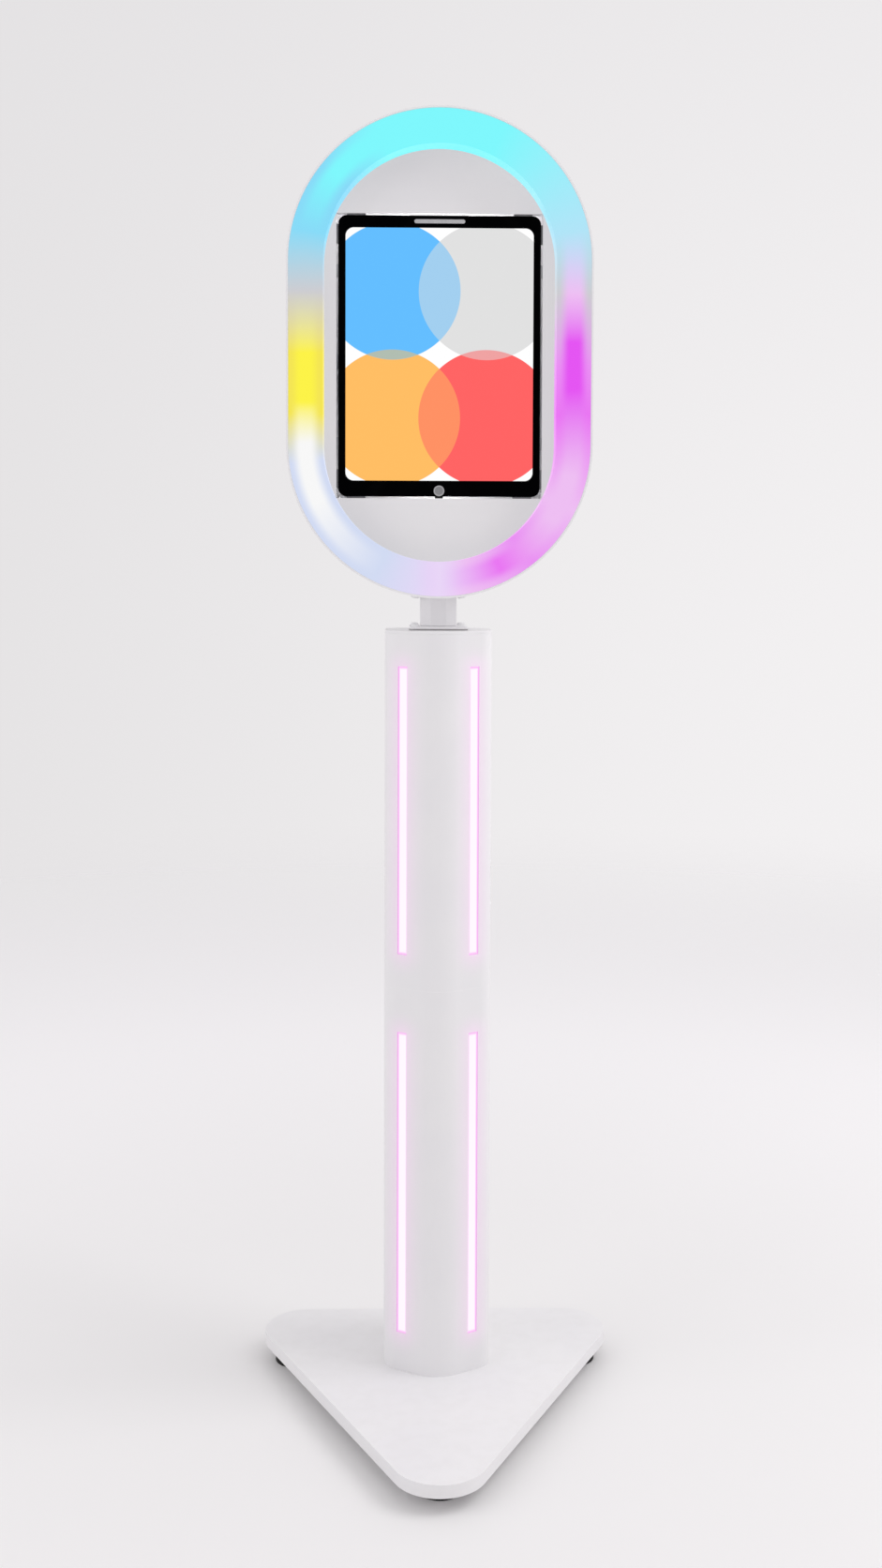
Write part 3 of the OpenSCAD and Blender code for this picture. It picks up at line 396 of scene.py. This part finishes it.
glow = tint(tree, rim, shade(255, 247, 254), shade(246, 165, 240))
feed(tree, shader.inputs["Emission Color"], glow)
shader.inputs["Emission Strength"].default_value = 0.95
feed(tree, shader.inputs["Base Color"], tint(tree, grain["Tone"], shade(60, 40, 58), shade(72, 50, 70)))
feed(tree, shader.inputs["Roughness"], calc(tree, "MULTIPLY_ADD", grain["Tone"], 0.1, 0.35))
skin = add(tree, "Bump", {"Height": grain["Height"], "Strength": 0.15, "Distance": 0.00005})
feed(tree, shader.inputs["Normal"], skin.outputs[0])
dress([f"{level}_{side}_diffuser" for level in ("lower", "upper") for side in ("left", "right")],
      pink_opal, 0.0003)


def aluminium(name, high=(205, 206, 209), low=(178, 180, 184), stretch=(1.0, 1.0, 40.0)):
    """Extruded or rolled aluminium, with fine drawing lines along one way."""
    finish, tree, shader = new_material(name)
    where, _ = place(tree)
    drawn = add(tree, "Mapping", {"Vector": where, "Scale": [1000 / s for s in stretch]})
    lines = add(tree, "TexNoise", {"Vector": drawn.outputs[0], "Scale": 1.0, "Detail": 3.0}).outputs["Fac"]
    skin = use(tree, PEEL, Size=300.0, Patches=50.0)
    rim = use(tree, EDGE, Radius=0.0005, Breaks=400.0)["Edge"]
    metal = tint(tree, calc(tree, "MULTIPLY", lines, skin["Tone"]), shade(*high), shade(*low))
    feed(tree, shader.inputs["Base Color"], tint(tree, rim, metal, shade(228, 229, 231)))
    feed(tree, shader.inputs["Roughness"], calc(tree, "MULTIPLY_ADD", lines, 0.2, 0.25))
    scratch = add(tree, "Bump", {"Height": lines, "Strength": 0.25, "Distance": 0.00004})
    feed(tree, shader.inputs["Normal"], scratch.outputs[0])
    shader.inputs["Metallic"].default_value = 1.0
    return finish


def circuit_board(name):
    """White solder mask over copper tracks that show as slightly raised bands."""
    finish, tree, shader = new_material(name)
    where, _ = place(tree)
    tracks = add(tree, "TexBrick", {
        "Vector": where, "Scale": 160.0, "Mortar Size": 0.03, "Mortar Smooth": 0.4,
        "Color1": shade(228, 230, 224), "Color2": shade(220, 224, 216), "Mortar": shade(196, 190, 160),
    })
    skin = use(tree, PEEL, Size=600.0, Patches=60.0)
    wear_and_highlight = calc(tree, "MULTIPLY", skin["Tone"], 0.3)
    mask = tint(tree, wear_and_highlight, tracks.outputs["Color"], shade(205, 210, 200))
    feed(tree, shader.inputs["Base Color"], mask)
    feed(tree, shader.inputs["Roughness"], calc(tree, "MULTIPLY_ADD", skin["Tone"], 0.15, 0.35))
    raised = add(tree, "Bump", {"Height": tracks.outputs["Fac"], "Strength": 0.4, "Distance": 0.00005})
    feed(tree, shader.inputs["Normal"], raised.outputs[0])
    return finish


drawn_aluminium = aluminium("drawn_aluminium")
board = circuit_board("white_circuit_board")
dress(["light_channels"], drawn_aluminium, 0.0002)
dress(["light_strips"], board)


# ---------- Power inlet and switch ----------
# A small black plate on the column's back left face holds a round power inlet and a rocker
# switch, fixed by two screws. The supply lead runs up inside the column from there.

black_plastic = moulding("black_moulded_plastic", (38, 38, 40), (27, 27, 29), 0.45, 1600.0)
rocker_plastic = moulding("rocker_plastic", (46, 46, 48), (36, 36, 38), 0.3, 2400.0, 0.00003)
lead_jacket = moulding("lead_jacket", (30, 30, 32), (20, 20, 22), 0.4, 300.0, 0.00008)
dress(["inlet_plate", "power_inlet", "switch_body"], black_plastic, 0.0003)
dress(["switch_rocker"], rocker_plastic, 0.0004)
dress(["power_lead"], lead_jacket)
dress(["inlet_plate_screws"], zinc, 0.0002)


# ---------- Neck ----------
# An eight-sided welded tube on a square flange, bolted through a gasket to the column's cap; the
# gasket's grey is painted shadow under the flange. The tube's upper end is welded to a curved
# saddle that four screws hold inside the head.

neck_paint, *_ = powder_coat("neck_powder_coat", (240, 239, 241), (236, 235, 237), 1000.0)
dress(["neck_tube"], neck_paint, 0.0015, 3)
dress(["neck_flange"], neck_paint, 0.0006)
# The gasket's mid grey is painted shadow, for the dark line under the flange
dress(["flange_gasket"], moulding("gasket_grey_as_painted_shadow", (158, 156, 157), (140, 138, 139), 0.7, 900.0), 0.0002)
white_screws, *_ = powder_coat("painted_screws", (242, 242, 243), (236, 236, 237), 1500.0, 0.00005)
dress(["flange_screws", "saddle_screws"], white_screws, 0.0003)
dress(["neck_saddle"], zinc)


# ---------- Head shell and inner panel ----------
# A 2 mm sheet steel band is rolled to an upright oval and welded to a ledge and a back rim. The
# flat inner panel is screwed to the ledge, with a sharp-cornered window for the tablet.

# Light that leaks back from the ring's lamps fills the head, and shows round the tablet
HEAD_INSIDE_Y = 0.088
HEAD_LIGHT_RISE = 0.19
head_low, head_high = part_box("head_shell")
head_mid_z = (head_low.z + head_high.z) / 2

for name, rise in (("head_light_high", HEAD_LIGHT_RISE), ("head_light_low", -HEAD_LIGHT_RISE)):
    spill_light = bpy.data.lights.new(name, "POINT")
    spill_light.energy = 0.25
    spill_light.shadow_soft_size = 0.01
    holder = bpy.data.objects.new(name, spill_light)
    holder.location = (0, HEAD_INSIDE_Y, head_mid_z + rise)
    bpy.context.collection.objects.link(holder)

head_paint, *_ = powder_coat("head_powder_coat", peel_size=1000.0)
panel_paint, *_ = powder_coat("panel_powder_coat", peel_size=1000.0)
dress(["head_shell"], head_paint, 0.0005)
dress(["inner_panel"], panel_paint, 0.0004)
dress(["panel_screws"], zinc, 0.0002)


# ---------- Ring diffuser ----------
# One opal acrylic moulding with a U-shaped section covers the ring of lamps. The lamps run
# through cyan, yellow, white, lilac and magenta, and the acrylic blurs each into the next.

RING_FACE = 0.0377
CROSSOVER = 0.03
low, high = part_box("ring_diffuser")
ring_mid = (low + high) / 2
ring_outer_r = (high.x - low.x) / 2
ring_line_r = ring_outer_r - RING_FACE / 2
ring_straight = (high.z - low.z) / 2 - ring_outer_r
ring_path = math.pi * ring_line_r + 2 * ring_straight

ring_opal, tree, shader = new_material("ring_opal_acrylic")
where, along = place(tree)
haze = add(tree, "TexNoise", {"Vector": where, "Scale": 16.0, "Detail": 2.0}).outputs["Fac"]
sideways = calc(tree, "SUBTRACT", along["X"], ring_mid.x)
upright = calc(tree, "SUBTRACT", along["Z"], ring_mid.z)
held = calc(tree, "MINIMUM", calc(tree, "MAXIMUM", upright, -ring_straight), ring_straight)
beyond = calc(tree, "SUBTRACT", upright, held)
angle = calc(tree, "ARCTAN2", calc(tree, "ABSOLUTE", sideways), beyond)
run = calc(tree, "SUBTRACT", calc(tree, "MULTIPLY", angle, ring_line_r), held)
run = calc(tree, "DIVIDE", calc(tree, "ADD", run, ring_straight), ring_path)
run = calc(tree, "ADD", run, calc(tree, "MULTIPLY_ADD", haze, 0.012, -0.006))
radius = calc(tree, "SQRT", calc(tree, "ADD", calc(tree, "MULTIPLY", sideways, sideways),
                                 calc(tree, "MULTIPLY", beyond, beyond)))
across = calc(tree, "DIVIDE", calc(tree, "SUBTRACT", radius, ring_line_r), RING_FACE / 2)

# The lamps' colours, in shares of the way down one side from the top of the ring to the bottom.
# The moulding's two edges are duller than its middle line
CYAN, SKY, MIST, ICE = (120, 250, 255), (130, 220, 250), (175, 230, 250), (210, 220, 245)
YELLOW, LEMON = (255, 245, 50), (245, 230, 70)
WHITE, SILVER, LILAC = (250, 250, 250), (205, 205, 210), (235, 215, 250)
MAGENTA, ORCHID, ROSE, PINK = (230, 70, 245), (235, 110, 245), (235, 140, 245), (240, 190, 245)
LEFT_MIDDLE = {
    0.2: CYAN, 0.3: SKY, 0.4: SILVER, 0.5: YELLOW, 0.58: YELLOW, 0.65: WHITE, 0.75: WHITE, 0.9: ICE,
}
LEFT_EDGE = {
    0.1: CYAN, 0.2: SKY, 0.3: SKY, 0.4: SILVER, 0.5: LEMON, 0.6: LEMON, 0.68: ICE, 0.9: ICE,
}
RIGHT_MIDDLE = {
    0.1: CYAN, 0.3: MIST, 0.4: PINK, 0.48: MAGENTA, 0.56: MAGENTA, 0.7: PINK, 0.78: PINK, 0.9: ORCHID,
}
RIGHT_EDGE = {
    0.1: CYAN, 0.3: MIST, 0.4: SILVER, 0.52: ROSE, 0.6: ORCHID, 0.75: PINK, 0.85: ROSE, 0.95: PINK,
}


def light_run(tree, run, stops):
    """The lamps' colour along one side of the ring."""
    made = add(tree, "ValToRGB", {"Fac": run})
    first, last = made.color_ramp.elements
    first.color, last.color = shade(*CYAN), shade(*LILAC)
    for share, colour in stops.items():
        made.color_ramp.elements.new(share).color = shade(*colour)
    return made.outputs["Color"]


def side_glow(middle, edge):
    """One side of the ring: its middle line, and how it goes over into its two edges."""
    toward = fade(tree, calc(tree, "ABSOLUTE", across), 0.25, 0.92)
    return tint(tree, toward, light_run(tree, run, middle), light_run(tree, run, edge))


glow = tint(
    tree, fade(tree, sideways, -CROSSOVER, CROSSOVER),
    side_glow(LEFT_MIDDLE, LEFT_EDGE), side_glow(RIGHT_MIDDLE, RIGHT_EDGE),
)
seen = add(tree, "LightPath").outputs["Is Camera Ray"]
feed(tree, shader.inputs["Emission Color"], tint(tree, seen, shade(214, 214, 217), glow))
shader.inputs["Emission Strength"].default_value = 0.9
feed(tree, shader.inputs["Base Color"], tint(tree, 0.95, glow, (0.02, 0.02, 0.02, 1)))
grain = use(tree, PEEL, Size=400.0, Patches=20.0)
feed(tree, shader.inputs["Roughness"], calc(tree, "MULTIPLY_ADD", grain["Tone"], 0.1, 0.38))
skin = add(tree, "Bump", {"Height": grain["Height"], "Strength": 0.12, "Distance": 0.00005})
feed(tree, shader.inputs["Normal"], skin.outputs[0])
shader.inputs["Specular IOR Level"].default_value = 0.3
dress(["ring_diffuser"], ring_opal, 0.0008, 3)


# ---------- Ring lamps and their controller ----------
# An oval circuit board carries the lamps behind the diffuser. A black controller box on the
# back of the panel drives them, and a thin lead charges the tablet from it.

lamp_resin, tree, shader = new_material("lamp_resin")
grain = use(tree, PEEL, Size=900.0, Patches=200.0)
resin = tint(tree, grain["Tone"], shade(244, 238, 205), shade(250, 248, 235))
feed(tree, shader.inputs["Base Color"], resin)
feed(tree, shader.inputs["Roughness"], calc(tree, "MULTIPLY_ADD", grain["Tone"], 0.1, 0.25))
skin = add(tree, "Bump", {"Height": grain["Height"], "Strength": 0.2, "Distance": 0.00005})
feed(tree, shader.inputs["Normal"], skin.outputs[0])
dress(["ring_light_board"], board)
dress(["ring_lights"], lamp_resin)
dress(["light_controller"], black_plastic, 0.001, 2)
dress(["charge_lead"], lead_jacket, 0.0003)


# ---------- Tablet ----------
# A slim tablet with a milled aluminium back and a cover glass that is printed black round the
# screen. It has a speaker slit above the screen and a round button below it.

screen_low, screen_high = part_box("tablet_display")
screen_mid = (screen_low + screen_high) / 2
SCREEN_CORNER_R = 0.009
SCREEN_EDGE = 0.0005

# Share of a rounded oblong that covers a point: 1 inside, 0 outside
OBLONG, got, give = new_group(
    "rounded_oblong",
    {"X": 0.0, "Z": 0.0, "Half Width": 0.1, "Half Height": 0.1, "Corner": 0.01}, ["Inside"]
)
_, along = place(OBLONG)
legs = []
for axis, half in (("X", "Half Width"), ("Z", "Half Height")):
    gone = calc(OBLONG, "ABSOLUTE", calc(OBLONG, "SUBTRACT", along[axis], got[axis]))
    room = calc(OBLONG, "SUBTRACT", got[half], got["Corner"])
    legs.append(calc(OBLONG, "MAXIMUM", calc(OBLONG, "SUBTRACT", gone, room), 0.0))
span = calc(OBLONG, "SQRT", calc(OBLONG, "ADD", calc(OBLONG, "MULTIPLY", legs[0], legs[0]),
                                 calc(OBLONG, "MULTIPLY", legs[1], legs[1])))
edge = calc(OBLONG, "SUBTRACT", span, got["Corner"])
feed(OBLONG, give["Inside"], fade(OBLONG, edge, 0.00015, -0.00015))

# The picture on the screen is a plain one: a disc in each quarter, with mixed colours where they meet
DISC, got, give = new_group("disc", {"X": 0.0, "Z": 0.0, "Radius": 0.075}, ["Inside"])
_, along = place(DISC)
gone = [calc(DISC, "SUBTRACT", along[axis], got[axis]) for axis in ("X", "Z")]
span = calc(DISC, "SQRT", calc(DISC, "ADD", calc(DISC, "MULTIPLY", gone[0], gone[0]),
                               calc(DISC, "MULTIPLY", gone[1], gone[1])))
feed(DISC, give["Inside"], fade(DISC, calc(DISC, "SUBTRACT", span, got["Radius"]), 0.0002, -0.0002))

QUARTERS = (
    (-1, -1, (255, 190, 100)),
    (1, -1, (255, 100, 100)),
    (1, 1, (225, 225, 225)),
    (-1, 1, (100, 190, 255)),
)
PICTURE, got, give = new_group("screen_picture", {"X": 0.0, "Z": 0.0}, ["Picture Colour"])
picture = shade(255, 255, 255)
drawn = []
for side, level, colour in QUARTERS:
    right = calc(PICTURE, "ADD", got["X"], side * (screen_high.x - screen_low.x) / 4)
    up = calc(PICTURE, "ADD", got["Z"], level * (screen_high.z - screen_low.z) / 4)
    inside = use(PICTURE, DISC, X=right, Z=up)["Inside"]
    picture = tint(PICTURE, inside, picture, shade(*colour))
    for other, under in drawn:
        both = calc(PICTURE, "MULTIPLY", inside, other)
        mixed = [(first + second) / 2 for first, second in zip(colour, under)]
        picture = tint(PICTURE, both, picture, shade(*mixed))
    drawn.append((inside, colour))
feed(PICTURE, give["Picture Colour"], picture)

# The display is bonded to the glass, so its picture shows at the glass's own face
cover_glass, tree, shader = new_material("printed_cover_glass")
window = use(
    tree, OBLONG, X=screen_mid.x, Z=screen_mid.z, Corner=SCREEN_CORNER_R,
    Half_Width=(screen_high.x - screen_low.x) / 2 - SCREEN_EDGE,
    Half_Height=(screen_high.z - screen_low.z) / 2 - SCREEN_EDGE,
)["Inside"]
picture = use(tree, PICTURE, X=screen_mid.x, Z=screen_mid.z)["Picture Colour"]
feed(tree, shader.inputs["Emission Color"], tint(tree, window, (0, 0, 0, 1), picture))
shader.inputs["Emission Strength"].default_value = 1.0
where, _ = place(tree)
smears = add(tree, "TexNoise", {"Vector": where, "Scale": 22.0, "Detail": 5.0, "Distortion": 1.5})
smears = fade(tree, smears.outputs["Fac"], 0.45, 0.75)
feed(tree, shader.inputs["Base Color"], tint(tree, smears, shade(1, 1, 2), shade(4, 4, 5)))
feed(tree, shader.inputs["Roughness"], calc(tree, "MULTIPLY_ADD", smears, 0.12, 0.06))
grain = use(tree, PEEL, Size=60.0, Patches=20.0)
skin = add(tree, "Bump", {"Height": grain["Height"], "Strength": 0.05, "Distance": 0.00002})
feed(tree, shader.inputs["Normal"], skin.outputs[0])
shader.inputs["Specular IOR Level"].default_value = 0.01
dress(["tablet_glass"], cover_glass, 0.0002)

display_panel, tree, shader = new_material("display_panel")
DOT_PITCH = 0.0001
where, _ = place(tree)
fine = add(tree, "VectorMath", {0: where, 1: (DOT_PITCH,) * 3}, operation="SNAP").outputs[0]
dots = add(tree, "TexWhiteNoise", {"Vector": fine}).outputs["Value"]
picture = use(tree, PICTURE, X=screen_mid.x, Z=screen_mid.z)["Picture Colour"]
feed(tree, shader.inputs["Emission Color"], picture)
shader.inputs["Emission Strength"].default_value = 0.9
feed(tree, shader.inputs["Base Color"], tint(tree, dots, shade(12, 12, 14), shade(18, 18, 20)))
feed(tree, shader.inputs["Roughness"], calc(tree, "MULTIPLY_ADD", dots, 0.1, 0.3))
skin = add(tree, "Bump", {"Height": dots, "Strength": 0.05, "Distance": 0.00001})
feed(tree, shader.inputs["Normal"], skin.outputs[0])
dress(["tablet_display"], display_panel)

milled = aluminium("milled_aluminium", (214, 215, 218), (196, 197, 201), (1.0, 1.0, 6.0))
dress(["tablet_body"], milled, 0.0012, 3)
dress(["power_key", "volume_up_key", "volume_down_key"], milled, 0.0003)

grille, tree, shader = new_material("speaker_mesh")
where, _ = place(tree)
holes = add(tree, "TexVoronoi", {"Vector": where, "Scale": 1300.0, "Randomness": 0.0}).outputs["Distance"]
open_part = fade(tree, holes, 0.34, 0.26)
skin = use(tree, PEEL, Size=900.0, Patches=80.0)
wire = tint(tree, skin["Tone"], shade(186, 186, 188), shade(202, 202, 203))
# Painted shade: the holes are coloured mid grey for the shade inside them
feed(tree, shader.inputs["Base Color"], tint(tree, open_part, wire, shade(120, 120, 122)))
feed(tree, shader.inputs["Roughness"], calc(tree, "MULTIPLY_ADD", open_part, 0.3, 0.4))
sunk = add(tree, "Bump", {"Height": open_part, "Strength": 0.6, "Distance": 0.0001}, invert=True)
feed(tree, shader.inputs["Normal"], sunk.outputs[0])
dress(["tablet_speaker"], grille, 0.0001)

BUTTON_RING_R = 0.0048
button_finish, tree, shader = new_material("button_finish")
_, along = place(tree)
low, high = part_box("home_button")
centre = (low + high) / 2
off = [calc(tree, "SUBTRACT", along[axis], value) for axis, value in (("X", centre.x), ("Z", centre.z))]
span = calc(tree, "SQRT", calc(tree, "ADD", calc(tree, "MULTIPLY", off[0], off[0]),
                               calc(tree, "MULTIPLY", off[1], off[1])))
ring = fade(tree, span, BUTTON_RING_R - 0.0004, BUTTON_RING_R)
skin = use(tree, PEEL, Size=1500.0, Patches=120.0)
dish = tint(tree, skin["Tone"], shade(126, 126, 128), shade(138, 138, 140))
feed(tree, shader.inputs["Base Color"], tint(tree, ring, dish, shade(178, 178, 180)))
feed(tree, shader.inputs["Roughness"], calc(tree, "MULTIPLY_ADD", ring, -0.15, 0.4))
fine = add(tree, "Bump", {"Height": skin["Height"], "Strength": 0.2, "Distance": 0.00003})
feed(tree, shader.inputs["Normal"], fine.outputs[0])
dress(["home_button"], button_finish, 0.0002)


# ---------- Tablet mounting ----------
# Four painted corner angles on the back of the panel hold the tablet in line with its window.
# Two aluminium bars with foam under them press it forward, each on two knurled screws.

bracket_paint, *_ = powder_coat("bracket_powder_coat")
foam = moulding("foam_pads", (150, 150, 153), (132, 132, 135), 0.85, 900.0, 0.0003)
dress(["tablet_brackets"], bracket_paint, 0.0004)
dress(["tablet_pads"], foam, 0.0005)
dress(["retainer_bars"], drawn_aluminium, 0.0003)
dress(["thumb_screws"], zinc, 0.0004)


# ---------- Rear door ----------
# A flat sheet door with two banks of vent slots and a stiffening rib closes the head's back. It
# hangs on two pinned hinges and is kept shut by a cam lock with a key cylinder.

door_paint, *_ = powder_coat("door_powder_coat")
dress(["rear_door"], door_paint, 0.0005)
dress(["hinge_pins", "hinge_leaves"], zinc, 0.0003)
dress(["hinge_screws"], zinc, 0.0002)
lock_finish = zinc_plate("lock_chrome", (206, 208, 212), (190, 192, 197), 1200.0)
dress(["door_lock", "lock_cylinder"], lock_finish, 0.0003)
